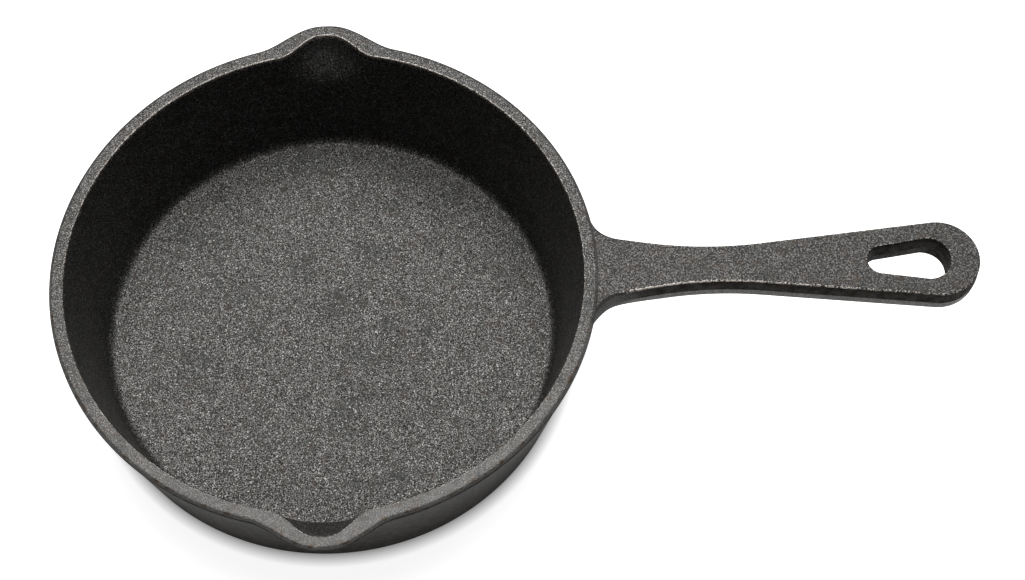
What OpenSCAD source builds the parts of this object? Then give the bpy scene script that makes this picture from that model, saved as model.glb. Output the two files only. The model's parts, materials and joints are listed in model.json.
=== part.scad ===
// Cast iron skillet with two pour spouts and a flat handle with a teardrop hang hole.
// The real skillet is one casting. Each module below is one named region of it, and the
// regions meet face to face.
// Frame: origin on the pan's axis at the face it rests on, +Z up, handle along +X.

/* [Pan] */
// Diameter over the rim, without the pour spouts
rim_d = 160; // [130:1:220]
// Height of the pan from the resting face to the rim
pan_h = 43; // [36:1:60]
// Width of the rim's flat top, which is also the thickness of the side wall
rim_w = 4.2; // [3:0.1:6]
// Thickness of the floor
floor_t = 4.8; // [3:0.1:7]
// Angle by which the side wall leans outwards
wall_slope = 11.8; // [6:0.2:16]
// Radius of the curve inside the corner between floor and wall
inner_corner_r = 4.5; // [4:0.5:10]
// Radius of the edge under the pan
base_edge_r = 3; // [1.5:0.5:4]

/* [Rim] */
// Height of the rim band
rim_h = 1.8; // [1.4:0.1:3]
// How far the rim band stands out from the wall under it
rim_step = 0.25; // [0.1:0.05:0.6]
// Radius of the rim's outer edge
rim_edge_r = 0.9; // [0.4:0.1:1.2]
// Flat taken off the rim's inner edge
rim_inner_bevel = 0.35; // [0.2:0.05:0.6]

/* [Pour spouts] */
// How far each spout swells out of the rim
spout_reach = 6.4; // [3:0.2:9]
// Half of the angle that the swelling takes up on the outside
spout_half_angle = 15; // [12:1:20]
// How much smaller that half angle is on the inside, because of the wall's thickness
spout_inner_narrowing = 2.3; // [1:0.1:4]
// How far down the wall the swelling fades out
spout_depth = 16; // [10:1:20]

/* [Handle] */
// Length from the rim to the handle's tip
handle_len = 112; // [100:1:150]
// Thickness of the handle
handle_t = 9.2; // [6:0.2:11]
// How far the handle's top face lies under the rim
handle_drop = 0.6; // [0.3:0.1:1.2]
// Width at the narrowest place
neck_w = 12; // [9:0.2:14]
// Distance of the narrowest place from the rim
neck_from_rim = 35; // [29:1:42]
// Radius of the long hollow curve in the handle's sides
neck_curve_r = 120; // [90:5:135]
// Radius of the round end
tip_r = 12.3; // [11:0.1:15]
// Length of the root, from the rim to where the grip starts
root_len = 18; // [15:1:22]
// Radius of the curves that join the handle's sides to the wall
root_side_r = 11.4; // [7:0.2:12]
// Radius of the curve that joins the handle's underside to the wall
root_under_r = 10; // [6:1:14]
// Length of the end part that holds the hang hole
loop_len = 40; // [38:1:46]

/* [Hang hole] */
// Metal left between the hole and the tip
hole_tip_gap = 8.4; // [5:0.2:9]
// Radius of the hole's wide end, near the tip
hole_wide_r = 6.9; // [5:0.1:8]
// Radius of the hole's narrow end
hole_narrow_r = 4.7; // [3:0.1:4.9]
// Length of the hole
hole_len = 25; // [18:0.2:28]

/* [Hidden] */

iron = [0.20, 0.20, 0.20];
iron_rim = [0.30, 0.29, 0.28];
iron_spout = [0.26, 0.25, 0.25];
iron_handle = [0.23, 0.23, 0.23];

round_fn = 180;      // facets shown on a full turn; the exact surfaces stay round
arc_steps = 6;       // straight bands in each small edge curve
over = 1;            // how far a cutting shape runs past what it cuts

rim_r = rim_d / 2;
rim_z = pan_h - rim_h;
slope = tan(wall_slope);

// Radius of the outer wall and of the inner wall at height z.
function outer_r(z) = rim_r - rim_step - (rim_z - z) * slope;
function inner_r(z) = rim_r - rim_w - (pan_h - z) * slope;

// Points on an arc from angle a to angle b, in degrees.
function arc(x, y, r, a, b) =
    [for (i = [0:arc_steps]) let (t = a + (b - a) * i / arc_steps) [x + r * cos(t), y + r * sin(t)]];

function reversed(list) = [for (i = [len(list) - 1:-1:0]) list[i]];

// ---- Pan: the section is drawn as radius and height, then turned about the axis ----

corner_z = floor_t + inner_corner_r;
corner_r = inner_r(corner_z) - inner_corner_r / cos(wall_slope);
base_r = outer_r(base_edge_r) - base_edge_r / cos(wall_slope);
floor_margin = 2;    // flat floor outside the floor disc, before the corner curve starts
floor_r = corner_r - floor_margin;
foot_margin = 0.2;   // straight wall above the corner curve, before the side wall starts
wall_foot_z = corner_z + foot_margin;

module pan_floor() {
    color(iron)
    cylinder(h = floor_t, r = floor_r, $fn = round_fn);
}

module base_corner() {
    color(iron)
    rotate_extrude($fn = round_fn)
    polygon(concat(
        [[floor_r, floor_t], [floor_r, 0]],
        arc(base_r, base_edge_r, base_edge_r, -90, -wall_slope),
        [[outer_r(wall_foot_z), wall_foot_z], [inner_r(wall_foot_z), wall_foot_z]],
        arc(corner_r, corner_z, inner_corner_r, -wall_slope, -90)
    ));
}

// ---- Pour spouts: the swelling is a smooth hump round the rim and down the wall ----

spout_margin_angle = 1;    // plain wall kept on each side of the swelling
spout_margin_z = 1;        // plain wall kept under it
spout_edge_angle = spout_half_angle + spout_margin_angle;
spout_z = pan_h - spout_depth - spout_margin_z;
spout_cols = 32;
spout_rows = 8;

// A smooth hump: 1 in the middle, falling to 0 at distance d = 1.
function hump(d) = d >= 1 ? 0 : pow(1 - d, 2) * (1 + 2 * d);

// The swelling at an angle from the spout's middle and at height z, for a given half angle.
function swelling(angle, half, z) = spout_reach * hump(norm([angle / half, (pan_h - z) / spout_depth]));

function outer_swelling(angle, z) = swelling(angle, spout_half_angle, z);
function inner_swelling(angle, z) = swelling(angle, spout_half_angle - spout_inner_narrowing, z);

function rim_outer_edge() = arc(rim_r - rim_edge_r, pan_h - rim_edge_r, rim_edge_r, 0, 90);

// The rim's inner edge, from the top down.
function rim_inner_edge() = [
    [rim_r - rim_w + rim_inner_bevel, pan_h],
    [inner_r(pan_h - rim_inner_bevel), pan_h - rim_inner_bevel]
];

function row_z(i) = spout_z + (rim_z - spout_z) * i / spout_rows;

function spout_outside() = concat(
    [for (i = [0:spout_rows]) [outer_r(row_z(i)), row_z(i)]],
    [[rim_r, rim_z]],
    rim_outer_edge()
);

function spout_inside() = concat(
    rim_inner_edge(),
    [for (i = [spout_rows:-1:0]) [inner_r(row_z(i)), row_z(i)]]
);

function on_circle(radius, angle, z) = [radius * sin(angle), radius * cos(angle), z];

function spout_ring(angle) = concat(
    [for (p = spout_outside()) on_circle(p[0] + outer_swelling(angle, p[1]), angle, p[1])],
    [for (p = spout_inside()) on_circle(p[0] + inner_swelling(angle, p[1]), angle, p[1])]
);

// The end of a spout, as triangles: a strip up the wall, then a fan over the rim.
spout_points = len(spout_ring(0));
rim_crest = spout_rows + 2 + arc_steps;
crest_neighbours = concat(
    [for (i = [rim_crest + 1:rim_crest + 3]) i],
    [for (i = [spout_rows:rim_crest - 1]) i]
);
spout_end = concat(
    [
        for (i = [0:spout_rows - 1])
        let (j = spout_points - 1 - i)
        each [[i, i + 1, j - 1], [i, j - 1, j]]
    ],
    [for (i = [1:len(crest_neighbours) - 1]) [rim_crest, crest_neighbours[i - 1], crest_neighbours[i]]]
);

// The spout that points along +Y.
module spout() {
    n = spout_points;
    rings = [for (j = [0:spout_cols]) spout_ring(spout_edge_angle * (1 - 2 * j / spout_cols))];
    skin = [
        for (j = [0:spout_cols - 1], i = [0:n - 1])
        let (a = j * n + i, b = j * n + (i + 1) % n)
        each [[a, b, b + n], [a, b + n, a + n]]
    ];
    first_end = [for (t = spout_end) reversed(t)];
    last_end = [for (t = spout_end) [for (i = t) spout_cols * n + i]];
    polyhedron(points = [for (ring = rings) each ring], faces = concat(skin, first_end, last_end));
}

module right_spout() {
    color(iron_spout)
    spout();
}

module left_spout() {
    color(iron_spout)
    rotate([0, 0, 180])
    spout();
}

// The wedge of the pan, about +Y, that a spout takes up.
module spout_wedge() {
    reach = 2 * rim_r;
    translate([0, 0, spout_z])
    linear_extrude(pan_h)
    polygon([
        [0, 0],
        [reach * sin(spout_edge_angle), reach * cos(spout_edge_angle)],
        [-reach * sin(spout_edge_angle), reach * cos(spout_edge_angle)]
    ]);
}

module side_wall() {
    color(iron)
    difference() {
        rotate_extrude($fn = round_fn)
        polygon([
            [outer_r(wall_foot_z), wall_foot_z],
            [outer_r(rim_z), rim_z],
            [inner_r(rim_z), rim_z],
            [inner_r(wall_foot_z), wall_foot_z]
        ]);
        spout_wedge();
        rotate([0, 0, 180])
        spout_wedge();
    }
}

// Half of the rim, between the two spouts, starting at the given angle from +X.
module rim_half(start) {
    rotate([0, 0, start + spout_edge_angle])
    rotate_extrude(angle = 180 - 2 * spout_edge_angle, $fn = round_fn)
    polygon(concat([[rim_r, rim_z]], rim_outer_edge(), rim_inner_edge(), [[inner_r(rim_z), rim_z]]));
}

module front_rim() {
    color(iron_rim)
    rim_half(90);
}

module rear_rim() {
    color(iron_rim)
    rim_half(-90);
}

// ---- Handle: the plan is a round end, a straight taper, a long hollow curve and a flare ----

handle_top = pan_h - handle_drop;
handle_bottom = handle_top - handle_t;
tip_x = rim_r + handle_len;
tip_centre = [tip_x - tip_r, 0];
neck_centre = [rim_r + neck_from_rim, neck_w / 2 + neck_curve_r];

// Direction across the straight side, which touches both the round end and the hollow curve.
tip_to_neck = neck_centre - tip_centre;
side_angle = atan2(tip_to_neck[1], tip_to_neck[0]) - acos((tip_r + neck_curve_r) / norm(tip_to_neck));
side_normal = [cos(side_angle), sin(side_angle)];
side_at_tip = tip_centre + tip_r * side_normal;
side_at_neck = neck_centre - neck_curve_r * side_normal;

// The curve under the root runs round the pan's axis and touches the wall and the underside. It would
// end in a knife edge on the wall, so it is stopped this much higher.
under_feather = 1.2;
under_z = handle_bottom - root_under_r;
under_r = outer_r(under_z) + root_under_r / cos(wall_slope);
under_foot_z = under_z + root_under_r * sin(wall_slope) + under_feather;
root_inner_r = outer_r(under_foot_z) - over;

// Centre of the side curve at the root. It meets the wall, biting in by a hair so that the two
// surfaces cross, and it touches the hollow curve from inside: flare_out from the pan's axis
// and neck_curve_r - root_side_r from neck_centre.
wall_bite = 0.02;
flare_out = outer_r(handle_top) + root_side_r / cos(wall_slope) - wall_bite;
flare_in = neck_curve_r - root_side_r;
neck_out = norm(neck_centre);
flare_turn = acos((pow(neck_out, 2) + pow(flare_out, 2) - pow(flare_in, 2)) / (2 * neck_out * flare_out));
flare_angle = atan2(neck_centre[1], neck_centre[0]) - flare_turn;
flare_centre = flare_out * [cos(flare_angle), sin(flare_angle)];
flare_at_neck = flare_centre + root_side_r * (flare_centre - neck_centre) / flare_in;

// The side curve is stopped this angle before its knife edge on the wall.
feather_angle = 1.2;
flare_end_angle = flare_angle - feather_angle;
flare_end_way = [cos(flare_end_angle), sin(flare_end_angle)];
flare_end = (rim_r + over) * flare_end_way;
inside_pan = root_inner_r * flare_end_way;

function across(p) = [p[0], -p[1]];

// What the round end leaves out of a square-ended handle.
module tip_corners() {
    difference() {
        translate([side_at_tip[0], -2 * tip_r])
        square(4 * tip_r);
        translate(tip_centre)
        circle(r = tip_r, $fn = round_fn);
    }
}

// What the hollow curve leaves out at one side, only as far in as the flare of the root.
module neck_hollow() {
    intersection() {
        translate(neck_centre)
        circle(r = neck_curve_r, $fn = 4 * round_fn);
        translate([flare_at_neck[0], 0])
        square(2 * neck_curve_r);
    }
}

module handle_plan() {
    side_end = side_at_tip + 2 * tip_r * [side_normal[1], -side_normal[0]];
    side = [inside_pan, flare_end, flare_at_neck, side_at_neck, side_end];
    difference() {
        polygon(concat(side, reversed([for (p = side) across(p)])));
        tip_corners();
        neck_hollow();
        mirror([0, 1])
        neck_hollow();
    }
}

// The handle's plan, from x = from to x = to, between two heights.
module handle_slab(from, to, low) {
    intersection() {
        translate([0, 0, low])
        linear_extrude(handle_top - low)
        handle_plan();
        translate([from, -2 * tip_r, low - over])
        cube([to - from, 4 * tip_r, handle_top - low + 2 * over]);
    }
}

root_end_x = rim_r + root_len;
loop_start_x = tip_x - loop_len;

module root_section() {
    far = root_end_x + over;
    difference() {
        polygon([
            [root_inner_r, handle_top],
            [far, handle_top],
            [far, handle_bottom],
            [under_r, handle_bottom],
            [under_r - root_under_r / 2, under_foot_z],
            [root_inner_r, under_foot_z]
        ]);
        translate([under_r, under_z])
        circle(r = root_under_r, $fn = round_fn);
    }
}

// Everything inside the pan's outer surface, from the foot of the root upwards.
module pan_envelope() {
    low = under_foot_z - over;
    rotate_extrude($fn = round_fn)
    polygon(concat(
        [[0, low], [outer_r(low), low], [outer_r(rim_z), rim_z], [rim_r, rim_z]],
        rim_outer_edge(),
        [[0, pan_h]]
    ));
}

// A leaning post that shapes one side curve of the root, so that it follows the wall downwards.
module flare_post() {
    translate([flare_centre[0], flare_centre[1], handle_top])
    rotate([0, wall_slope, flare_angle])
    cylinder(h = 4 * (handle_t + root_under_r), r = root_side_r, center = true, $fn = round_fn);
}

module handle_root() {
    color(iron_handle)
    difference() {
        intersection() {
            handle_slab(0, root_end_x, under_foot_z);
            rotate_extrude($fn = round_fn)
            root_section();
        }
        pan_envelope();
        flare_post();
        mirror([0, 1, 0])
        flare_post();
    }
}

module handle_grip() {
    color(iron_handle)
    handle_slab(root_end_x, loop_start_x, handle_bottom);
}

// ---- Hang hole: two circles and the straight sides that touch both ----

wide_x = tip_x - hole_tip_gap - hole_wide_r;
narrow_x = tip_x - hole_tip_gap - hole_len + hole_narrow_r;
hole_side_angle = 90 + asin((hole_wide_r - hole_narrow_r) / (wide_x - narrow_x));
hole_normal = [cos(hole_side_angle), sin(hole_side_angle)];

module hang_hole_plan() {
    side = [[wide_x, 0] + hole_wide_r * hole_normal, [narrow_x, 0] + hole_narrow_r * hole_normal];
    polygon(concat(side, reversed([for (p = side) across(p)])));
    translate([wide_x, 0])
    circle(r = hole_wide_r, $fn = round_fn);
    translate([narrow_x, 0])
    circle(r = hole_narrow_r, $fn = round_fn);
}

module hang_loop() {
    color(iron_handle)
    difference() {
        handle_slab(loop_start_x, tip_x + over, handle_bottom);
        translate([0, 0, handle_bottom - over])
        linear_extrude(handle_t + 2 * over)
        hang_hole_plan();
    }
}

pan_floor();
base_corner();
side_wall();
front_rim();
rear_rim();
right_spout();
left_spout();
handle_root();
handle_grip();
hang_loop();
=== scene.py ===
# %% [markdown]
# # A small cast iron skillet with two pouring spouts
#
# A skillet like this is one pour of iron: the pan, its two spouts and its handle leave the sand mould
# together. We still build it as ten regions, because each region of the engineering model keeps its
# own name. So we shape the whole pan and the whole handle first, and only then cut them along lines
# that no eye can find: the flat of the floor, the straight cone of the wall and the step of the rim.

# %% Load the engineering model as a fixed frame
import json
import math

import bpy
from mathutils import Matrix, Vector

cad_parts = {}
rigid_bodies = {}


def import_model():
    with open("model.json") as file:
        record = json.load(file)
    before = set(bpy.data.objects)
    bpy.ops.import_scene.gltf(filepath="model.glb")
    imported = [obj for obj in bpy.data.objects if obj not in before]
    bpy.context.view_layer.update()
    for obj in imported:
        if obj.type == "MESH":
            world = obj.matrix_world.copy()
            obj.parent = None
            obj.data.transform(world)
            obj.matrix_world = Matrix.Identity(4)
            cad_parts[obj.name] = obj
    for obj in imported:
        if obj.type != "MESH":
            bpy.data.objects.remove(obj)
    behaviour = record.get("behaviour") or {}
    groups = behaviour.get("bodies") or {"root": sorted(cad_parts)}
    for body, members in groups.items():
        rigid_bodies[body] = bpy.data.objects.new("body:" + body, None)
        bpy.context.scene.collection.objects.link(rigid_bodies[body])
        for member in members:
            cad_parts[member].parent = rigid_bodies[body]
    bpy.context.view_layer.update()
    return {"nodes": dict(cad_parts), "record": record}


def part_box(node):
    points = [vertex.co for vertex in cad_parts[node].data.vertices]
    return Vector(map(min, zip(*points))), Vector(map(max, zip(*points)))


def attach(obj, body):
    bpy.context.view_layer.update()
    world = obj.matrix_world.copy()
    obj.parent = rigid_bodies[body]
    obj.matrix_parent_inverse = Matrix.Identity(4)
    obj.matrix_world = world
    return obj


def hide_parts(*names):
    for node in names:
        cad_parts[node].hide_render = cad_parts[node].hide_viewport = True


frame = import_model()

print("named regions:", ", ".join(sorted(frame["nodes"])))

# %% [markdown]
# Every size starts from the engineering model: its boxes give the radius of the rim, the heights
# where one region meets the next, the reach of the spouts and the ends of the handle. The few small
# radii that a box can't tell are written here once, in millimetres, with what they belong to.

# %% Measure the pan
MM = 0.001


def low(node, axis):
    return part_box(node)[0]["xyz".index(axis)]


def high(node, axis):
    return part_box(node)[1]["xyz".index(axis)]


pan_h = high("front_rim", "z")
rim_z = low("front_rim", "z")
rim_r = -low("front_rim", "x")
wall_top_r = -low("side_wall", "x")
wall_foot_z = low("side_wall", "z")
wall_foot_r = high("base_corner", "x")
spout_foot_z = low("right_spout", "z")
floor_r = high("pan_floor", "x")
floor_z = high("pan_floor", "z")
spout_reach = high("right_spout", "y") - rim_r

wall_lean = math.atan((wall_top_r - wall_foot_r) / (rim_z - wall_foot_z))
rim_w = 4.2 * MM
base_edge_r = 3 * MM
corner_r = 3.2 * MM
rim_edge_r = 0.9 * MM
rim_bevel = 0.35 * MM
print(f"rim {2000 * rim_r:.1f} mm across, {1000 * pan_h:.1f} mm high")
print(f"the wall leans {math.degrees(wall_lean):.1f} degrees")

# %% [markdown]
# ## The pan
#
# A pan is a body of revolution, so a potter would throw it on a wheel, and we can do nearly the same:
# a small circle at the middle of the base is extruded ring by ring, each new ring resized and lifted
# to the next point of the section. It runs out along the base, up the outside, over the rim, down
# the inside and back to the middle of the floor. Spin would do this in one go, but ring by ring we
# choose how close the rings stand: far apart on the straight cone, close together round the edges
# and where the spouts will be pulled.

# %% Work out the section, as a row of points (radius, height)
def outside_r(z):
    return wall_top_r - (rim_z - z) * math.tan(wall_lean)


def inside_r(z):
    return rim_r - rim_w - (pan_h - z) * math.tan(wall_lean)


def round_turn(centre, radius, start, end, steps):
    """Points on an arc of the section, from one angle to another, in degrees."""
    angles = [math.radians(start + (end - start) * i / steps) for i in range(steps + 1)]
    return [(centre[0] + radius * math.cos(a), centre[1] + radius * math.sin(a)) for a in angles]


lean = math.degrees(wall_lean)
base_flat_r = outside_r(0) - base_edge_r * math.tan(math.radians((90 - lean) / 2))
foot = round_turn((base_flat_r, base_edge_r), base_edge_r, -90, -lean, 6)
spout_rows = [spout_foot_z + (rim_z - spout_foot_z) * i / 14 for i in range(15)]
wall_rows = [wall_foot_z, (wall_foot_z + spout_foot_z) / 2] + spout_rows
lip = round_turn((rim_r - rim_edge_r, pan_h - rim_edge_r), rim_edge_r, 0, 90, 6)
bevel_z = pan_h - rim_bevel
inner_edge = round_turn((inside_r(bevel_z) + rim_bevel, bevel_z), rim_bevel, 90, 180, 4)
rim_flat = [(r * MM, pan_h) for r in (78.5, 77.6, 76.8, 76.45)]
corner_z = floor_z + corner_r
corner_centre_r = inside_r(corner_z) - corner_r / math.cos(wall_lean)
corner = round_turn((corner_centre_r, corner_z), corner_r, -lean, -90, 10)

section = [(r * MM, 0) for r in (20, 40)] + [(floor_r, 0)] + foot
section += [(outside_r(z), z) for z in wall_rows] + [(rim_r, rim_z)] + lip
section += rim_flat + inner_edge + [(inside_r(z), z) for z in reversed(wall_rows)] + corner
section += [(floor_r, floor_z)] + [(r * MM, floor_z) for r in (45, 30, 15, 2)]
print(len(section), "rings in the section")

# %% [markdown]
# Every ring has 360 points, one for each degree round the pan, so the cuts that part the spouts from
# the wall can run exactly along whole degrees.

# %% Throw the pan
RING_POINTS = 360


def start_afresh():
    """Leave edit mode and select nothing, so that the next tool works only on the new piece."""
    if bpy.context.object and bpy.context.object.mode != "OBJECT":
        bpy.ops.object.mode_set(mode="OBJECT")
    bpy.ops.object.select_all(action="DESELECT")


def pull_ring(old, new):
    """Extrude the selected ring to the next point of the section."""
    bpy.ops.mesh.extrude_region_move(TRANSFORM_OT_translate={"value": (0, 0, new[1] - old[1])})
    size = new[0] / old[0]
    bpy.ops.transform.resize(value=(size, size, 1), center_override=(0, 0, 0))


start_afresh()
middle = (2 * MM, 0)
bpy.ops.mesh.primitive_circle_add(vertices=RING_POINTS, radius=middle[0], fill_type="TRIFAN")
pan = bpy.context.object
pan.name = "whole_pan"
bpy.ops.object.mode_set(mode="EDIT")
bpy.ops.mesh.select_mode(type="EDGE")
bpy.ops.mesh.select_all(action="DESELECT")
bpy.ops.mesh.select_non_manifold()
ring = middle
for point in section:
    pull_ring(ring, point)
    ring = point
bpy.ops.mesh.edge_face_add()
bpy.ops.mesh.poke()
bpy.ops.mesh.select_all(action="SELECT")
bpy.ops.mesh.normals_make_consistent(inside=False)
bpy.ops.object.mode_set(mode="OBJECT")
print("the pan has", len(pan.data.vertices), "points")

# %% [markdown]
# ## Where the iron is worn, and where it is rough
#
# The finish needs to know three things that a place in space can't tell it: which edges are painted
# bright, partly as wear from lids, spoons and hands and partly as a painted highlight, which faces
# show the coarse sand of the mould's core, and where the iron is painted dark as painted shade: at the
# foot of the outside wall and in the step under the rim's edge. All are noted as numbers on the points
# of the mesh while each point still stands at a known radius and height. Such a note stays with its
# point through every later pull and cut, and the material reads it as an attribute.

# %% Note the edges of wear and painted highlight, the coarse faces and the painted shade on the pan's points
HAIR = 0.01 * MM    # two places closer than this count as the same
# how dark the underside of the base is painted, as painted shade under the pan
BASE_SHADE = 0.3


def note_points(piece, name, value_at):
    """Give every point of a mesh a number that the finish reads later."""
    note = piece.data.attributes.new(name, "FLOAT", "POINT")
    note.data.foreach_set("value", [value_at(v.co) for v in piece.data.vertices])


def flat_r(point):
    return math.hypot(point[0], point[1])


def pan_wear_and_highlight(p):
    """How bright a point is painted, partly as wear and partly as a painted highlight: most on the far inner
    edge of the rim, lighter towards the far side as a painted highlight, a little on its near outer edge.
    """
    if p.z < bevel_z - HAIR or rim_r - rim_edge_r - HAIR > flat_r(p) > rim_r - rim_w + rim_bevel:
        return 0
    if flat_r(p) < rim_r - rim_w + rim_bevel:
        # the far side of the inner edge is painted brighter, a painted highlight where it catches the light
        return 0.35 + 0.6 * max(p.y, 0) / rim_r
    return 0.25 if p.y < 0 else 0


def pan_coarseness(p):
    """1 on the faces that the core shaped, less on the ground top of the rim and least on its near side, 0
    outside. The less coarse a face, the more of the smooth faces' painted tone it takes: lighter on the rim,
    a painted highlight, and dark on the outside wall, painted shade.
    """
    if p.z > pan_h - rim_edge_r and flat_r(p) > rim_r - rim_w + 0.5 * rim_bevel:
        return min(0.7 + 0.5 * p.y / rim_r, 0.75) if p.z > pan_h - HAIR else 0
    return 1 if p.z > floor_z / 2 and flat_r(p) < (outside_r(p.z) + inside_r(p.z)) / 2 else 0


def pan_painted_shade(p):
    """How dark a point is painted, as painted shade: most at the foot of the outside wall where it nears the
    table, and in the step under the rim's edge, and a little on the underside of the base.
    """
    if flat_r(p) < (outside_r(p.z) + inside_r(p.z)) / 2:
        return 0
    if rim_z - HAIR < p.z < pan_h - rim_edge_r + HAIR:
        return 1 if flat_r(p) > rim_r - HAIR else 0.5
    if p.z < HAIR and flat_r(p) < base_flat_r - MM:
        return BASE_SHADE
    return max(1 - p.z / (0.85 * pan_h), 0)


# the first note is painted shade, the second wear with a painted highlight on it
note_points(pan, "painted_shade", pan_painted_shade)
note_points(pan, "wear_and_painted_highlight", pan_wear_and_highlight)
note_points(pan, "coarse", pan_coarseness)
wear_and_highlight = sum(d.value > 0 for d in pan.data.attributes["wear_and_painted_highlight"].data)
print(wear_and_highlight, "points on worn edges")

# %% [markdown]
# ## The pouring spouts
#
# Each spout is a soft outward bulge of the wall, widest at the rim and fading out a third of the way
# down. Proportional editing pulls just such a bulge: one point moves all the way and its neighbours
# follow less and less. Its reach is a ball, but the bulge is wider than it is deep, so the pan is
# first stretched upwards, pulled, and pressed back again. The outside and the inside of the wall are
# pulled in turn, with the other one hidden, since the hollow inside is a little narrower. Pulling is
# a resize from the pan's axis, because a spout grows straight outwards.

# %% Pull both spouts
spout_half_angle = math.radians(15)
spout_narrowing = math.radians(3.6)
spout_thinning = 0.4 * MM
spout_depth = 16 * MM
crest_r = 77.6 * MM


def select_points(obj, wanted):
    """Select exactly the points of a mesh that meet a test on their place."""
    bpy.ops.object.mode_set(mode="OBJECT")
    mesh = obj.data
    for part in (mesh.polygons, mesh.edges):
        part.foreach_set("select", [False] * len(part))
    mesh.vertices.foreach_set("select", [bool(wanted(v.co)) for v in mesh.vertices])
    bpy.context.tool_settings.mesh_select_mode = (True, False, False)
    bpy.ops.object.mode_set(mode="EDIT")


def select_faces(obj, wanted):
    """Select exactly the faces of a mesh that meet a test on their centre."""
    bpy.ops.object.mode_set(mode="OBJECT")
    mesh = obj.data
    for part in (mesh.vertices, mesh.edges):
        part.foreach_set("select", [False] * len(part))
    mesh.polygons.foreach_set("select", [bool(wanted(f.center)) for f in mesh.polygons])
    bpy.context.tool_settings.mesh_select_mode = (False, False, True)
    bpy.ops.object.mode_set(mode="EDIT")


def outside_half(p):
    """Is this point on the outer side of the middle of the wall?"""
    middle = (outside_r(p.z) + inside_r(p.z)) / 2 if p.z < rim_z else crest_r
    return p.z < floor_z / 2 or flat_r(p) > middle


def on_spout_tip(p, radius, side, tip_angle):
    on_edge = abs(p.z - pan_h) < HAIR and abs(flat_r(p) - radius) < HAIR
    return on_edge and abs(math.atan2(p.x, side * p.y)) < tip_angle + math.radians(0.1)


def pull_spouts(hidden, radius, half_angle, tip_angle, pull):
    """Hide one side of the wall, and pull a round bulge in the other at both spouts."""
    start_afresh()
    bpy.context.view_layer.objects.active = pan
    pan.select_set(True)
    select_points(pan, hidden)
    bpy.ops.mesh.hide(unselected=False)
    bulge_r = 2 * radius * math.sin(half_angle / 2)
    stretch = bulge_r / spout_depth
    for side in (1, -1):
        bpy.ops.mesh.select_all(action="SELECT")
        bpy.ops.transform.resize(value=(1, 1, stretch), center_override=(0, 0, pan_h))
        select_points(pan, lambda p: on_spout_tip(p, radius, side, tip_angle))
        grow = (radius + pull) / radius
        bpy.ops.transform.resize(
            value=(grow, grow, 1),
            center_override=(0, 0, pan_h),
            use_proportional_edit=True,
            proportional_edit_falloff="SMOOTH",
            proportional_size=bulge_r - tip_angle * radius,
        )
        bpy.ops.mesh.select_all(action="SELECT")
        bpy.ops.transform.resize(value=(1, 1, 1 / stretch), center_override=(0, 0, pan_h))
    bpy.ops.mesh.reveal(select=False)
    bpy.ops.object.mode_set(mode="OBJECT")


pull_spouts(lambda p: not outside_half(p), rim_r - rim_edge_r, spout_half_angle, math.radians(1), spout_reach)
pull_spouts(outside_half, inner_edge[0][0], spout_half_angle - spout_narrowing,
            math.radians(1.6), spout_reach + spout_thinning)
reach = max(v.co.y for v in pan.data.vertices)
print(f"the spouts reach {1000 * reach:.2f} mm from the axis, model {1000 * high('right_spout', 'y'):.2f}")

# %% [markdown]
# ## Cut the pan into its named regions
#
# A cut through the middle of a smooth surface shows as a line if the two sides bend differently there.
# So every cut runs where the section is straight: across the flat floor, through the straight cone of
# the wall, along the little step under the rim, and just past the place where a spout has faded out.
# Faces are selected by where their middle lies and separated, and each new piece is closed again by
# bridging its open edges, so that all of them are solid bodies.

# %% Separate and close the pan's regions
spout_edge = math.radians(round(math.degrees(math.asin(high("right_spout", "x") / rim_r))))


def beside_spout(p, side):
    """Is this point inside the wedge of one spout?"""
    return p.z > spout_foot_z and abs(math.atan2(p.x, side * p.y)) < spout_edge


def on_rim(p):
    return p.z > rim_z - HAIR


pan_regions = {
    "pan_floor": lambda p: flat_r(p) < floor_r,
    "base_corner": lambda p: p.z < wall_foot_z,
    "right_spout": lambda p: beside_spout(p, 1),
    "left_spout": lambda p: beside_spout(p, -1),
    "front_rim": lambda p: on_rim(p) and p.x < 0,
    "rear_rim": lambda p: on_rim(p),
}


def take_piece(whole, name, wanted):
    """Separate the faces of one region as a piece of its own."""
    select_faces(whole, wanted)
    before = set(bpy.data.objects)
    bpy.ops.mesh.separate(type="SELECTED")
    bpy.ops.object.mode_set(mode="OBJECT")
    piece = (set(bpy.data.objects) - before).pop()
    piece.name = piece.data.name = name + "_cast"
    return piece


def open_edit(piece):
    start_afresh()
    bpy.context.view_layer.objects.active = piece
    piece.select_set(True)
    bpy.ops.object.mode_set(mode="EDIT")


def bridge_where(piece, wanted):
    """Bridge the open edges of a piece that lie where a test says."""
    open_edit(piece)
    select_points(piece, wanted)
    bpy.ops.mesh.select_mode(type="EDGE")
    bpy.ops.mesh.select_all(action="DESELECT")
    bpy.ops.mesh.select_non_manifold(extend=False, use_wire=False, use_boundary=True,
                                     use_multi_face=False, use_non_contiguous=False, use_verts=False)
    bpy.ops.object.mode_set(mode="OBJECT")
    for e in piece.data.edges:
        e.select = e.select and all(wanted(piece.data.vertices[v].co) for v in e.vertices)
    for v in piece.data.vertices:
        v.select = False
    for e in piece.data.edges:
        if e.select:
            for v in e.vertices:
                piece.data.vertices[v].select = True
    bpy.ops.object.mode_set(mode="EDIT")
    bpy.ops.mesh.bridge_edge_loops()
    bpy.ops.object.mode_set(mode="OBJECT")


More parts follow.
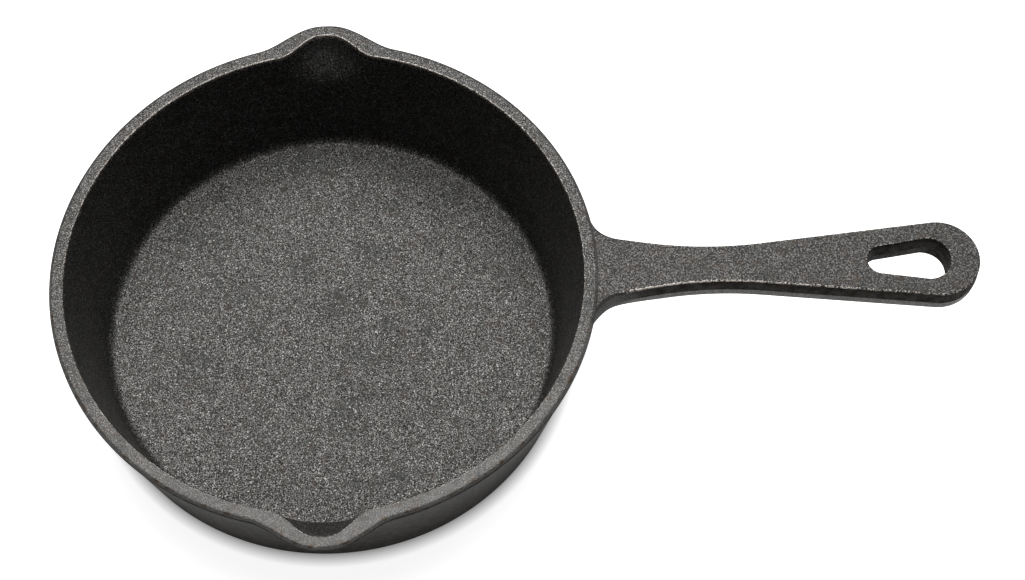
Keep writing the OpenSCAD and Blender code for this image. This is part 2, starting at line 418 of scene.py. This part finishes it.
def close_piece(piece):
    """Fill what is still open, turn every face outwards and keep corners over 35 degrees crisp."""
    open_edit(piece)
    bpy.ops.mesh.select_all(action="SELECT")
    bpy.ops.mesh.fill_holes(sides=0)
    bpy.ops.mesh.select_all(action="SELECT")
    bpy.ops.mesh.normals_make_consistent(inside=False)
    bpy.ops.object.mode_set(mode="OBJECT")
    bpy.ops.object.shade_smooth_by_angle(angle=math.radians(35), keep_sharp_edges=True)


def at_height(z):
    return lambda p: abs(p.z - z) < HAIR


def at_radius(r):
    return lambda p: abs(flat_r(p) - r) < HAIR


open_edit(pan)
pieces = {name: take_piece(pan, name, wanted) for name, wanted in pan_regions.items()}
pan.name = pan.data.name = "side_wall_cast"
pieces["side_wall"] = pan

bridge_where(pieces["pan_floor"], at_radius(floor_r))
bridge_where(pieces["base_corner"], at_radius(floor_r))
bridge_where(pieces["base_corner"], at_height(wall_foot_z))
bridge_where(pieces["side_wall"], at_height(wall_foot_z))
bridge_where(pieces["side_wall"], lambda p: p.z > wall_foot_z + HAIR)
for name in ("right_spout", "left_spout"):
    bridge_where(pieces[name], at_height(spout_foot_z))
for name in ("front_rim", "rear_rim"):
    bridge_where(pieces[name], at_height(rim_z))
for name, piece in pieces.items():
    close_piece(piece)
    print(f"{name}: {len(piece.data.polygons)} faces")

# %% [markdown]
# ## The handle
#
# The two halves of the mould meet round the middle of the handle, so its outline is widest there, at
# the parting line, and draws in a little above and below it to let the pattern out of the sand. That
# gives a way to build it: draw the outline flat at the height of the parting line, fill it, and let
# Inset walk upwards and downwards, drawing the edge in as it goes. The walk ends in a tight turn for
# the crisp upper edge and a softer one for the lower edge, and the hang hole gets the same upper edge.

# %% Draw the outline of the handle and its hang hole at the parting line
handle_top = high("handle_grip", "z")
handle_under = low("handle_grip", "z")
parting_z = handle_top - 5 * MM
tip_x = high("hang_loop", "x")
tip_r = high("hang_loop", "y")
root_end_x = low("handle_grip", "x")
loop_start_x = low("hang_loop", "x")
neck_w = 12 * MM
neck_curve_r = 120 * MM
neck_centre = Vector((rim_r + 35 * MM, neck_w / 2 + neck_curve_r, parting_z))
tip_centre = Vector((tip_x - tip_r, 0, parting_z))

across = neck_centre - tip_centre
side_turn = math.atan2(across.y, across.x) - math.acos((tip_r + neck_curve_r) / across.length)
side_normal = Vector((math.cos(side_turn), math.sin(side_turn), 0))
side_at_neck = neck_centre - neck_curve_r * side_normal

hole_wide_r = 6.5 * MM
hole_narrow_r = 4.3 * MM
hole_len = 25 * MM
hole_edge = 0.4 * MM
hole = next(m for m in frame["record"]["mounts"] if m["name"] == "hang_hole")
hole_x = hole["pos_m"][0]
hole_slide = hole_len - hole_wide_r - hole_narrow_r - 2 * hole_edge
LEAD_IN = 8 * MM


def add_loose_point(place):
    """Start a new piece as a single point, from one corner of a small plane."""
    start_afresh()
    bpy.ops.mesh.primitive_plane_add(size=MM, location=place)
    bpy.ops.object.transform_apply(location=True, rotation=False, scale=False)
    piece = bpy.context.object
    bpy.ops.object.mode_set(mode="EDIT")
    bpy.ops.mesh.merge(type="CENTER")
    return piece


handle = add_loose_point(tip_centre + Vector((tip_r, 0, 0)))
bpy.ops.mesh.select_all(action="SELECT")
bpy.ops.mesh.spin(steps=48, angle=side_turn, center=tip_centre, axis=(0, 0, -1))
side_step = (side_at_neck - tip_centre - tip_r * side_normal) / 8
for i in range(8):
    bpy.ops.mesh.extrude_region_move(TRANSFORM_OT_translate={"value": side_step})
neck_turn = side_turn - math.pi / 2 + math.asin((neck_centre.x - root_end_x + LEAD_IN) / neck_curve_r)
bpy.ops.mesh.spin(steps=16, angle=neck_turn, center=neck_centre, axis=(0, 0, 1))
bpy.ops.mesh.select_all(action="SELECT")
bpy.ops.mesh.duplicate()
bpy.ops.transform.resize(value=(1, -1, 1), center_override=(0, 0, 0))
bpy.ops.mesh.select_all(action="SELECT")
bpy.ops.mesh.remove_doubles(threshold=HAIR)
bpy.ops.object.mode_set(mode="OBJECT")
inner_x = min(v.co.x for v in handle.data.vertices)
select_points(handle, lambda p: p.x < inner_x + HAIR)
bpy.ops.mesh.edge_face_add()

bpy.ops.mesh.select_all(action="DESELECT")
bpy.ops.mesh.primitive_circle_add(vertices=72, radius=hole_wide_r, location=(hole_x, 0, parting_z))
select_points(handle, lambda p: math.hypot(p.x - hole_x, p.y) < hole_wide_r + HAIR and p.x < hole_x - HAIR)
shrink = hole_narrow_r / hole_wide_r
bpy.ops.transform.resize(value=(shrink, shrink, 1), center_override=(hole_x, 0, parting_z))
bpy.ops.transform.translate(value=(-hole_slide, 0, 0))
bpy.ops.mesh.select_mode(type="EDGE")
bpy.ops.mesh.select_all(action="SELECT")
bpy.ops.mesh.fill()
bpy.ops.object.mode_set(mode="OBJECT")
print("the handle's outline is filled with", len(handle.data.polygons), "faces")

# %% [markdown]
# Inset with a depth makes one step of the walk: it draws the edge of the whole face in by a little
# and lifts the face by a little more. The upper half is walked first. The lower half starts from a
# copy of the filled outline, turned to face down. At the end the two halves are merged along the
# parting line, which stays crisp, because on the real casting it does.

# %% Walk the outline up to the top face and down to the underside
upper_walk = [(0.05, 2.3), (0.05, 2.35), (0.04, 0.14), (0.08, 0.12), (0.10, 0.07),
              (0.12, 0.016), (0.35, 0.004)]
lower_walk = [(0.15, 1.6), (0.15, 1.5), (0.10, 0.40), (0.20, 0.34), (0.28, 0.22), (0.36, 0.11), (0.40, 0.03)]


def walk(steps):
    """Inset and lift the selected faces step by step; each step is (draw in, lift), in millimetres."""
    for inward, lift in steps:
        bpy.ops.mesh.inset(thickness=inward * MM, depth=lift * MM, use_even_offset=True, use_boundary=True)


open_edit(handle)
bpy.ops.mesh.select_mode(type="FACE")
bpy.ops.mesh.select_all(action="SELECT")
if handle.data.polygons[0].normal.z < 0:
    bpy.ops.mesh.flip_normals()
bpy.ops.mesh.duplicate()
bpy.ops.mesh.flip_normals()
walk(lower_walk)
bpy.ops.mesh.select_linked()
bpy.ops.mesh.hide(unselected=False)
bpy.ops.mesh.select_all(action="SELECT")
walk(upper_walk)
bpy.ops.mesh.reveal(select=False)
bpy.ops.mesh.select_all(action="SELECT")
bpy.ops.mesh.remove_doubles(threshold=HAIR)
bpy.ops.mesh.normals_make_consistent(inside=False)
bpy.ops.object.mode_set(mode="OBJECT")
heights = sorted({round(1000 * v.co.z, 2) for v in handle.data.vertices})
print("handle levels, mm:", heights)

# %% [markdown]
# The walk down widened the hang hole as much as it drew in the handle's outline. On the real handle the
# hole's wall goes nearly straight down, and leans in a little at the tip end, because a block of sand
# stands there and has to come out upwards. So each ring of the hole below the parting line is picked
# by its height and resized: along the handle from the hole's narrow end, and across from its middle.

# %% Straighten the wall of the hang hole below the parting line
HOLE_MARGIN = 1.8 * MM
# how far each ring stands outside the hole's outline: at its tip end and at its sides, in millimetres
wanted_growth = [(-0.10, 0.15), (-0.30, 0.28), (-0.40, 0.28), (-0.40, 0.28),
                 (-0.30, 0.30), (0, 0.45), (0.4, 0.8)]


def in_hang_hole(p):
    """Is this point on the edge or the wall of the hang hole? Its outline is a drop with a straight axis."""
    share = min(max(1 + (p.x - hole_x) / hole_slide, 0), 1)
    reach = hole_narrow_r + (hole_wide_r - hole_narrow_r) * share + HOLE_MARGIN
    return math.hypot(p.x - hole_x + hole_slide * (1 - share), p.y) < reach


ring_z, growth = parting_z, 0
for (inward, lift), (along, across_hole) in zip(lower_walk, wanted_growth):
    ring_z -= lift * MM
    growth += inward * MM
    select_points(handle, lambda p: in_hang_hole(p) and abs(p.z - ring_z) < HAIR)
    size = ((hole_slide + hole_wide_r + along * MM) / (hole_slide + hole_wide_r + growth),
            (hole_wide_r + across_hole * MM) / (hole_wide_r + growth), 1)
    bpy.ops.transform.resize(value=size, center_override=(hole_x - hole_slide, 0, ring_z))
    bpy.ops.object.mode_set(mode="OBJECT")
    print(f"hole ring at {1000 * ring_z:.2f} mm resized by {size[0]:.3f} and {size[1]:.3f}")

# %% [markdown]
# The parting line is kept crisp by marking its edges sharp. Then the handle is cut across, twice:
# where the root ends, and where the loop with the hang hole starts. Bisect cuts straight through and
# fills the cut. Each part of the handle is cut from its own copy.

# %% Cut the handle into its grip and its hanging loop
TOP_COARSENESS, SIDE_COARSENESS = 0.36, 0.2
handle.name = handle.data.name = "whole_handle"
open_edit(handle)
select_points(handle, at_height(parting_z))
bpy.ops.mesh.select_mode(type="EDGE")
bpy.ops.mesh.mark_sharp()
bpy.ops.object.mode_set(mode="OBJECT")


def handle_wear_and_highlight(p):
    """How bright a point is painted, partly as wear and partly as a painted highlight: most on the near upper
    edge, and towards the pan, less on the far edge and the hole's.
    """
    if not 0.25 * MM > handle_top - p.z > 0.002 * MM:
        return 0
    if in_hang_hole(p) or p.y > 0:
        return 0.45
    return 1.15 - 0.75 * (p.x - root_end_x) / (tip_x - root_end_x)


note_points(handle, "wear_and_painted_highlight", handle_wear_and_highlight)
# the hang hole's walls below the top edge are painted dark, as painted shade in the hole
note_points(handle, "painted_shade", lambda p: in_hang_hole(p) and p.z < handle_top - 0.15 * MM)
note_points(handle, "coarse", lambda p: TOP_COARSENESS if p.z > handle_top - HAIR else SIDE_COARSENESS)


def copy_piece(piece, name):
    """Duplicate a piece with a mesh of its own, so that it can be cut on its own."""
    start_afresh()
    bpy.context.view_layer.objects.active = piece
    piece.select_set(True)
    bpy.ops.object.duplicate(linked=False)
    twin = bpy.context.object
    twin.name = twin.data.name = name + "_cast"
    return twin


def cut_at(piece, x, keep_outer):
    """Cut a piece straight across at x, keep one side and close the cut."""
    open_edit(piece)
    bpy.ops.mesh.select_all(action="SELECT")
    bpy.ops.mesh.bisect(plane_co=(x, 0, 0), plane_no=(1, 0, 0), use_fill=True,
                        clear_inner=keep_outer, clear_outer=not keep_outer)
    bpy.ops.object.mode_set(mode="OBJECT")


grip = copy_piece(handle, "handle_grip")
cut_at(grip, root_end_x, keep_outer=True)
cut_at(grip, loop_start_x, keep_outer=False)
loop = copy_piece(handle, "hang_loop")
cut_at(loop, loop_start_x, keep_outer=True)
for name, piece in (("handle_grip", grip), ("hang_loop", loop)):
    close_piece(piece)
    pieces[name] = piece
    print(f"{name}: {len(piece.data.polygons)} faces")

# %% [markdown]
# ## The root of the handle
#
# Where the handle grows out of the wall it flares to both sides and downwards, in the soft curves
# that let hot iron flow and keep the joint from cracking. We take the cut face of the handle and
# extrude it towards the pan in steps. At each step it is widened to follow the side curve, its lower
# half is deepened to follow the curve underneath, and it is tipped a little, until it leans like the
# wall and sinks into it.

# %% Work out the root's section at any distance from the pan's axis
root_side_r = 11.4 * MM
root_low_r = 15.5 * MM
root_under_r = 10 * MM
root_softness = 5
under_z = handle_under - root_under_r
crease_r = outside_r(handle_top)


def flare_width(x, side_r):
    """Half of the root's width, where its side turns into the wall with this radius."""
    out = crease_r + side_r / math.cos(wall_lean)
    neck_out = math.hypot(neck_centre.x, neck_centre.y)
    turn_r = neck_curve_r - side_r
    turn = math.acos((neck_out ** 2 + out ** 2 - turn_r ** 2) / (2 * neck_out * out))
    way = math.atan2(neck_centre.y, neck_centre.x) - turn
    turn_x, turn_y = out * math.cos(way), out * math.sin(way)
    start_x = turn_x + side_r * (turn_x - neck_centre.x) / turn_r
    if x > start_x:
        return neck_centre.y - math.sqrt(neck_curve_r ** 2 - (neck_centre.x - x) ** 2)
    return turn_y - math.sqrt(max(side_r ** 2 - (turn_x - x) ** 2, 0))


def root_reach(x, width):
    """How far down the leaning section reaches, from the top face to the curve underneath."""
    gap = max(math.hypot(x, 0.6 * width) - crease_r, 0)
    if gap > root_under_r:
        return handle_top - handle_under
    curve_foot = (handle_top - under_z) / math.cos(wall_lean) - root_under_r * math.tan(wall_lean)
    curve = curve_foot - math.sqrt(root_under_r ** 2 - (root_under_r - gap) ** 2)
    return min(max(handle_top - handle_under, curve), handle_top - low("handle_root", "z"))


def running_total(steps):
    """Turn a walk's steps into places: how far in and how far along each row stands."""
    inward, drop, rows = 0, 0, []
    for step_in, step_lift in steps:
        inward, drop = inward + step_in * MM, drop + step_lift * MM
        rows.append((inward, drop))
    return rows


upper_rows, lower_rows = running_total(upper_walk), running_total(lower_walk)
upper_half, lower_half = upper_rows[-1][1], lower_rows[-1][1]


def root_section(x):
    """The rows of the section at x, from the underside up, as (half width, distance down from the top)."""
    nearness = min(max((root_end_x - x) / (root_end_x - crease_r), 0), 1)
    width = flare_width(x, root_side_r)
    low_width = max(flare_width(x, root_low_r), width)
    spread = 1 + nearness
    reach = root_reach(x, width) - upper_half
    soft = 1 + (root_softness - 1) * nearness ** 3
    rows = []
    for inward, drop in reversed(lower_rows):
        share = drop / lower_half
        rows.append((width + (low_width - width) * share - inward * spread, upper_half + reach * share))
    rows.append((width, upper_half))
    for inward, lift in upper_rows:
        near_top = lift > upper_half / 2 + MM
        rows.append((width - inward * soft, (upper_half - lift) * (soft if near_top else 1)))
    return rows


for x in (root_end_x, crease_r):
    print(f"at {1000 * x:.1f} mm the root is {2000 * max(w for w, d in root_section(x)):.1f} mm wide")

# %% [markdown]
# The stations are millimetres from the pan's axis. They stand closer together towards the wall, where
# the section changes fastest. The last ones lie inside the wall, so the root is sunk into it.

# %% Grow the root from the cut face of the handle to the wall
stations = [95, 92.5, 90, 88, 86.5, 85.2, 84, 83, 82.1, 81.3,
            80.6, 80, 79.5, 79.1, 78.8, 78.5, 78.3, 76.5]

root = copy_piece(handle, "handle_root")
cut_at(root, root_end_x, keep_outer=True)
open_edit(root)
select_faces(root, lambda p: p.x < root_end_x + HAIR)
bpy.ops.mesh.select_all(action="INVERT")
bpy.ops.mesh.delete(type="FACE")
bpy.ops.mesh.select_all(action="SELECT")
bpy.ops.object.mode_set(mode="OBJECT")


def select_indices(piece, chosen):
    """Select the points with these numbers, in edit mode."""
    bpy.ops.object.mode_set(mode="OBJECT")
    chosen = set(chosen)
    for part in (piece.data.polygons, piece.data.edges):
        part.foreach_set("select", [False] * len(part))
    piece.data.vertices.foreach_set("select", [v.index in chosen for v in piece.data.vertices])
    bpy.context.tool_settings.mesh_select_mode = (True, False, False)
    bpy.ops.object.mode_set(mode="EDIT")


last_x, last_tip = root_end_x, 0
last_rows = root_section(root_end_x)
for station in stations:
    x = station * MM
    tip = wall_lean * min((root_end_x - x) / (root_end_x - 86 * MM), 1)
    rows = root_section(x)
    open_edit(root)
    bpy.ops.mesh.select_mode(type="FACE")
    bpy.ops.mesh.extrude_region_move(TRANSFORM_OT_translate={"value": (x - last_x, 0, 0)})
    bpy.ops.object.mode_set(mode="OBJECT")
    ring = [v.index for v in root.data.vertices if v.select]
    heights = [handle_top - down * math.cos(last_tip) for _, down in last_rows]
    members = [[i for i in ring if abs(root.data.vertices[i].co.z - z) < 0.001 * MM] for z in heights]
    for row, old, new in zip(members, last_rows, rows):
        select_indices(root, row)
        bpy.ops.transform.resize(value=(1, new[0] / old[0], 1), center_override=(x, 0, handle_top))
        sink = (old[1] * math.sin(last_tip) - new[1] * math.sin(tip), 0,
                old[1] * math.cos(last_tip) - new[1] * math.cos(tip))
        bpy.ops.transform.translate(value=sink)
    select_indices(root, ring)
    bpy.ops.object.mode_set(mode="OBJECT")
    last_x, last_tip, last_rows = x, tip, rows
close_piece(root)


def fade_out(x, start, length):
    """1 far out along the handle, and 0 nearer the pan than the start."""
    return min(max((x - start) / length, 0), 1)


# the line of wear and painted highlight ends before the wall, and the sides take on the smoothness of the
# wall's outside
wear_and_highlight = root.data.attributes["wear_and_painted_highlight"].data
coarse = root.data.attributes["coarse"].data
for v in root.data.vertices:
    wear_and_highlight[v.index].value *= fade_out(v.co.x, 84 * MM, 8 * MM)
    if coarse[v.index].value < (TOP_COARSENESS + SIDE_COARSENESS) / 2:
        coarse[v.index].value *= fade_out(v.co.x, 79 * MM, 15 * MM)
pieces["handle_root"] = root
bpy.data.objects.remove(handle)
print(f"handle_root: {len(root.data.polygons)} faces")

# %% [markdown]
# ## The finish: seasoned cast iron
#
# Cast iron keeps the print of the sand that it was poured in. Seen close, the skin is a field of tiny
# grains and pits, a third to half a millimetre across, under a thin dark coat of baked oil. It is grey
# because of its sheen more than its colour: each grain throws back a bit of the light, some brightly
# and most hardly at all. So the finish is a dark, mostly metallic skin, and its life comes from noise
# at several sizes: broad blue-grey clouds and smaller brown stains where the oil baked unevenly, the
# sand grain itself, and a few flecks painted bright as glints. Light and shade are painted into it too:
# painted shade on the outside wall, on the handle's upper sides and in the hang hole, and a painted
# highlight on the rim and on the edges of wear. The same recipe serves the whole pan, so no line shows
# where two of its regions meet.

# %% Four small helpers for making a node material
def add_node(tree, kind, sockets=None, **settings):
    """Add a node, fill its sockets with numbers, colours or other nodes' outputs, and set its options."""
    node = tree.nodes.new(kind)
    for setting, value in settings.items():
        setattr(node, setting, value)
    for socket, value in (sockets or {}).items():
        if isinstance(value, bpy.types.NodeSocket):
            tree.links.new(value, node.inputs[socket])
        else:
            node.inputs[socket].default_value = value
    return node


def calculate(tree, operation, first, second):
    """Add one step of arithmetic and return its result."""
    return add_node(tree, "ShaderNodeMath", {0: first, 1: second}, operation=operation).outputs[0]


def stretch_range(tree, value, low_in, high_in, low_out, high_out):
    """Map one range of values to another, and hold what lies outside it at the ends."""
    sockets = {"Value": value, "From Min": low_in, "From Max": high_in, "To Min": low_out, "To Max": high_out}
    return add_node(tree, "ShaderNodeMapRange", sockets, clamp=True).outputs[0]


def blend_colours(tree, share, first, second):
    """Mix two colours; a share of 1 is all the second one."""
    mix = add_node(tree, "ShaderNodeMix", data_type="RGBA")
    for socket, value in ((mix.inputs[0], share), (mix.inputs[6], first), (mix.inputs[7], second)):
        if isinstance(value, bpy.types.NodeSocket):
            tree.links.new(value, socket)
        else:
            socket.default_value = value
    return mix.outputs[2]


# %% [markdown]
# Each size of noise is one Noise texture on Object coordinates, which are metres here, so a scale of
# one over the grain's size gives grains of that size. The painted glints come from a Voronoi texture:
# every cell has its own random colour, and only the few cells with a high value are painted bright.

# %% Write the recipe for cast iron
PAN_GRAIN = 0.35 * MM
HANDLE_GRAIN = 0.5 * MM
FINE_GRAIN = 0.22 * MM
GLINT_SIZE = 0.27 * MM
CLOUD = 9 * MM
STAIN = 2.6 * MM
oil_black = (0.018, 0.0175, 0.0165, 1)
iron_grey = (0.215, 0.211, 0.205, 1)
oil_brown = (0.045, 0.034, 0.027, 1)
blue_grey = (0.036, 0.038, 0.036, 1)
# bare iron on edges of wear, which also serves as a painted highlight
bare_iron_and_highlight = (0.60, 0.55, 0.50, 1)
# the colour of the painted glints
painted_glint_grey = (0.55, 0.54, 0.53, 1)
# the near black of the painted shade
painted_shade_brown = (0.006, 0.0045, 0.003, 1)
edge_rust = (0.055, 0.036, 0.022, 1)
METAL_SKIN = 0.66
METAL_RUBBED = 0.4
OIL_SHINE = 0.06
SHADE_ROUGHNESS = 0.25
SMOOTH_ROUGHNESS = 0.28
BAND_FADE = (84 * MM, 94 * MM)


def noise(tree, place, size, detail, roughness=0.6):
    sockets = {"Vector": place, "Scale": 1 / size, "Detail": detail, "Roughness": roughness}
    return add_node(tree, "ShaderNodeTexNoise", sockets).outputs["Fac"]


def cast_iron(name, grain_size, coarse_depth, fine_depth, gloss, smooth_painted_tones, painted_shade_band=(0, 0)):
    """Make the finish: the grains' size and heights in metres, its roughness, how light its smooth faces
    are painted below and above the foot of the rim, painted shade on the outside wall and a painted
    highlight on the rim, and the heights between which the sides are painted dark as painted shade."""
    finish = bpy.data.materials.new(name)
    finish.use_nodes = True
    tree = finish.node_tree
    skin = tree.nodes["Principled BSDF"]
    place = add_node(tree, "ShaderNodeTexCoord").outputs["Object"]
    wear_and_highlight = add_node(tree, "ShaderNodeAttribute", attribute_name="wear_and_painted_highlight").outputs["Fac"]
    coarse = add_node(tree, "ShaderNodeAttribute", attribute_name="coarse").outputs["Fac"]

    grain = noise(tree, place, grain_size, 3, 0.7)
    fine = noise(tree, place, FINE_GRAIN, 2)
    cloud = noise(tree, place, CLOUD, 3)
    stain = noise(tree, place, STAIN, 4)

    # a few cells are painted bright as glints, painted highlights, mostly on coarse faces
    cells = add_node(tree, "ShaderNodeTexVoronoi", {"Vector": place, "Scale": 1 / GLINT_SIZE}, feature="F1")
    lottery = add_node(tree, "ShaderNodeSeparateColor", {"Color": cells.outputs["Color"]}).outputs[0]
    winner = stretch_range(tree, lottery, 0.94, 1.0, 0, 1)
    painted_glint = calculate(tree, "MULTIPLY", winner, stretch_range(tree, coarse, 0.2, 1, 0.05, 1))

    here = add_node(tree, "ShaderNodeSeparateXYZ", {"Vector": place}).outputs
    height_here = here["Z"]
    # smooth faces take a painted tone: dark below the foot of the rim, painted shade on the outside wall, and
    # lighter above it, a painted highlight on the rim
    smooth_painted_tone = stretch_range(tree, height_here, rim_z, rim_z + 0.3 * MM, *smooth_painted_tones)
    crest = stretch_range(tree, grain, 0.49, 0.60, 0, 1)
    crest = calculate(tree, "SUBTRACT", crest, smooth_painted_tone)
    crest = calculate(tree, "MULTIPLY", crest, stretch_range(tree, coarse, 0, 0.8, 0.16, 1))
    crest = calculate(tree, "ADD", crest, smooth_painted_tone)
    tone = blend_colours(tree, crest, oil_black, iron_grey)
    tone = blend_colours(tree, stretch_range(tree, cloud, 0.52, 0.72, 0, 0.6), tone, blue_grey)
    tone = blend_colours(tree, stretch_range(tree, stain, 0.54, 0.70, 0, 0.7), tone, oil_brown)

    # edges of wear are painted as bare iron, partly real wear and partly a painted highlight
    rubbed_and_highlight = calculate(tree, "ADD", wear_and_highlight, stretch_range(tree, grain, 0.38, 0.60, -0.95, 0.2))
    rubbed_and_highlight = stretch_range(tree, calculate(tree, "MULTIPLY", rubbed_and_highlight, stretch_range(tree, wear_and_highlight, 0, 0.3, 0, 1)),
                           0.25, 0.9, 0, 1)
    painted_glint_share = calculate(tree, "MULTIPLY", painted_glint, 0.8)
    tone = blend_colours(tree, painted_glint_share, tone, painted_glint_grey)
    tone = blend_colours(tree, rubbed_and_highlight, tone, bare_iron_and_highlight)
    rust = calculate(tree, "MULTIPLY", stretch_range(tree, wear_and_highlight, 0.05, 0.25, 0, 1),
                     stretch_range(tree, wear_and_highlight, 0.25, 0.33, 1, 0))
    rust = calculate(tree, "MULTIPLY", rust, stretch_range(tree, stain, 0.52, 0.62, 0, 0.7))
    tone = blend_colours(tree, rust, tone, edge_rust)
    # a range of heights and the points marked on the mesh are painted near black, as painted shade
    shade_band = calculate(tree, "MULTIPLY", calculate(tree, "GREATER_THAN", height_here, painted_shade_band[0]),
                     calculate(tree, "LESS_THAN", height_here, painted_shade_band[1]))
    shade_band = calculate(tree, "MULTIPLY", shade_band, stretch_range(tree, here["X"], *BAND_FADE, 0, 1))
    noted_shade = add_node(tree, "ShaderNodeAttribute", attribute_name="painted_shade").outputs["Fac"]
    shade_share = calculate(tree, "MAXIMUM", noted_shade, shade_band)
    shade_share = calculate(tree, "MULTIPLY", shade_share, stretch_range(tree, stain, 0.35, 0.6, 1, 0.75))
    tone = blend_colours(tree, shade_share, tone, painted_shade_brown)
    tree.links.new(tone, skin.inputs["Base Color"])

    metal = calculate(tree, "MULTIPLY", stretch_range(tree, rubbed_and_highlight, 0, 1, METAL_SKIN, METAL_RUBBED),
                      stretch_range(tree, shade_share, 0, 1, 1, 0.1))
    metal = calculate(tree, "MULTIPLY", metal, stretch_range(tree, coarse, 0, 0.15, 0.12, 1))
    tree.links.new(metal, skin.inputs["Metallic"])
    skin.inputs["Specular IOR Level"].default_value = OIL_SHINE
    dull = stretch_range(tree, stain, 0.3, 0.7, gloss + 0.07, gloss - 0.05)
    dull = calculate(tree, "ADD", dull, stretch_range(tree, crest, 0, 1, 0.10, -0.06))
    smooth_side = stretch_range(tree, coarse, 0, 0.15, SMOOTH_ROUGHNESS, 0)
    dull = calculate(tree, "ADD", dull, smooth_side)
    dull = calculate(tree, "ADD", dull, calculate(tree, "MULTIPLY", shade_share, SHADE_ROUGHNESS))
    tree.links.new(dull, skin.inputs["Roughness"])

    height = calculate(tree, "MULTIPLY", grain, stretch_range(tree, coarse, 0, 1, 0.2, 1))
    big = add_node(tree, "ShaderNodeBump", {"Height": height, "Distance": coarse_depth})
    sockets = {"Height": fine, "Distance": fine_depth, "Normal": big.outputs[0]}
    small = add_node(tree, "ShaderNodeBump", sockets)
    tree.links.new(small.outputs[0], skin.inputs["Normal"])
    return finish


# %% [markdown]
# Each slot gets a finish of its own from the one recipe. The three on the pan share their numbers, so
# the pan reads as one casting, while the handle has a larger, quieter grain. Then each piece is
# attached to the body it rides on, and the region of the engineering model that it replaces is hidden.

# %% Make one finish for each slot and dress the pieces
# the last pair is the painted tone of smooth faces below and above the foot of the rim: painted shade on the
# outside wall and a painted highlight on the rim
pan_numbers = (PAN_GRAIN, 0.16 * MM, 0.01 * MM, 0.37, (0.07, 0.4))
finishes = {
    "cooking_surface": cast_iron("cooking_iron", *pan_numbers),
    "pan_body": cast_iron("wall_iron", *pan_numbers),
    "rim": cast_iron("rim_iron", *pan_numbers),
    # the handle's upper sides, from the parting line to just under the top edge, are painted dark as painted
    # shade
    "handle": cast_iron("handle_iron", HANDLE_GRAIN, 0.14 * MM, 0.012 * MM, 0.46, (0.18, 0.18),
                        painted_shade_band=(parting_z, handle_top - 0.28 * MM)),
}
slot_of = {
    "pan_floor": "cooking_surface",
    "base_corner": "pan_body", "side_wall": "pan_body", "right_spout": "pan_body", "left_spout": "pan_body",
    "front_rim": "rim", "rear_rim": "rim",
    "handle_root": "handle", "handle_grip": "handle", "hang_loop": "handle",
}
for name, piece in pieces.items():
    piece.data.materials.clear()
    piece.data.materials.append(finishes[slot_of[name]])
    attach(piece, "root")
    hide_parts(name)
print("dressed:", ", ".join(f"{name} in {slot}" for name, slot in slot_of.items()))

# %% [markdown]
# ## The studio
#
# The skillet lies on a plain white table. Dark metal shows what it reflects, so the light is what draws
# it: one very large softbox hangs above and behind the pan, where the flat faces throw its light back
# to the camera, and the side of the camera is left dark, which keeps the walls of the pan deep black.
# The table also glows by itself, all but the part under the pan, so it stays nearly white in the shade.

# %% Lay the table
TABLE_GLOW = 0.9
start_afresh()
bpy.ops.mesh.primitive_plane_add(size=6)
table = bpy.context.object
table.name = table.data.name = "studio_table"
paper = bpy.data.materials.new("white_table")
paper.use_nodes = True
paper_skin = paper.node_tree.nodes["Principled BSDF"]
paper_skin.inputs["Base Color"].default_value = (0.92, 0.92, 0.92, 1)
paper_skin.inputs["Roughness"].default_value = 0.9
paper_skin.inputs["Emission Color"].default_value = (1, 1, 1, 1)
tree = paper.node_tree
spot = add_node(tree, "ShaderNodeTexCoord").outputs["Object"]
away = add_node(tree, "ShaderNodeVectorMath", {0: spot}, operation="LENGTH").outputs["Value"]
# the glow fades out across the foot of the pan, which leaves a thin painted contact shadow round it
glow = stretch_range(tree, away, wall_foot_r - 4 * MM, wall_foot_r + 2 * MM, 0, TABLE_GLOW)
tree.links.new(glow, paper_skin.inputs["Emission Strength"])
table.data.materials.append(paper)

# %% [markdown]
# One rectangular area lamp stands in for the softbox. It is turned to face the skillet with a track
# quaternion, which is how an empty and a Track To constraint would aim it, but leaves nothing behind.
# The world is almost black, so what doesn't reflect the lamp or the table stays dark.

# %% Hang the lights
aim = Vector((0.0550, -0.0074, pan_h))


def hang_softbox(name, place, width, depth, power):
    """Hang a rectangular lamp at a place, turned to face the skillet."""
    bpy.ops.object.light_add(type="AREA", location=place)
    lamp = bpy.context.object
    lamp.name = lamp.data.name = name
    lamp.data.shape = "RECTANGLE"
    lamp.data.size, lamp.data.size_y = width, depth
    lamp.data.energy = power
    lamp.rotation_euler = (aim - lamp.location).to_track_quat("-Z", "Y").to_euler()


hang_softbox("overhead_softbox", (0.05, 0.45, 1.13), 0.95, 1.05, 18.4)
room = bpy.data.worlds.new("dim_room")
bpy.context.scene.world = room
room.use_nodes = True
room.node_tree.nodes["Background"].inputs["Color"].default_value = (0.025, 0.025, 0.025, 1)
bpy.context.scene.view_settings.view_transform = "Standard"

# %% [markdown]
# The camera looks down steeply over the near spout, from far enough away that the round rim keeps its
# shape. Its place is worked out from an aim point, two angles and a distance, which are easier to
# adjust one at a time than three coordinates.

# %% Set up the camera
camera_distance = 0.703
camera_height_angle = math.radians(62.3)
camera_turn = math.radians(-91.6)
camera_slide = 0.25 * MM
level = camera_distance * math.cos(camera_height_angle)
camera_aim = aim - Vector((camera_slide, 0, 0))
camera_place = camera_aim + Vector((level * math.cos(camera_turn), level * math.sin(camera_turn),
                             camera_distance * math.sin(camera_height_angle)))
bpy.ops.object.camera_add(location=camera_place)
camera = bpy.context.object
camera.rotation_euler = (camera_aim - camera_place).to_track_quat("-Z", "Y").to_euler()
camera.data.lens = 85.06
bpy.context.scene.camera = camera
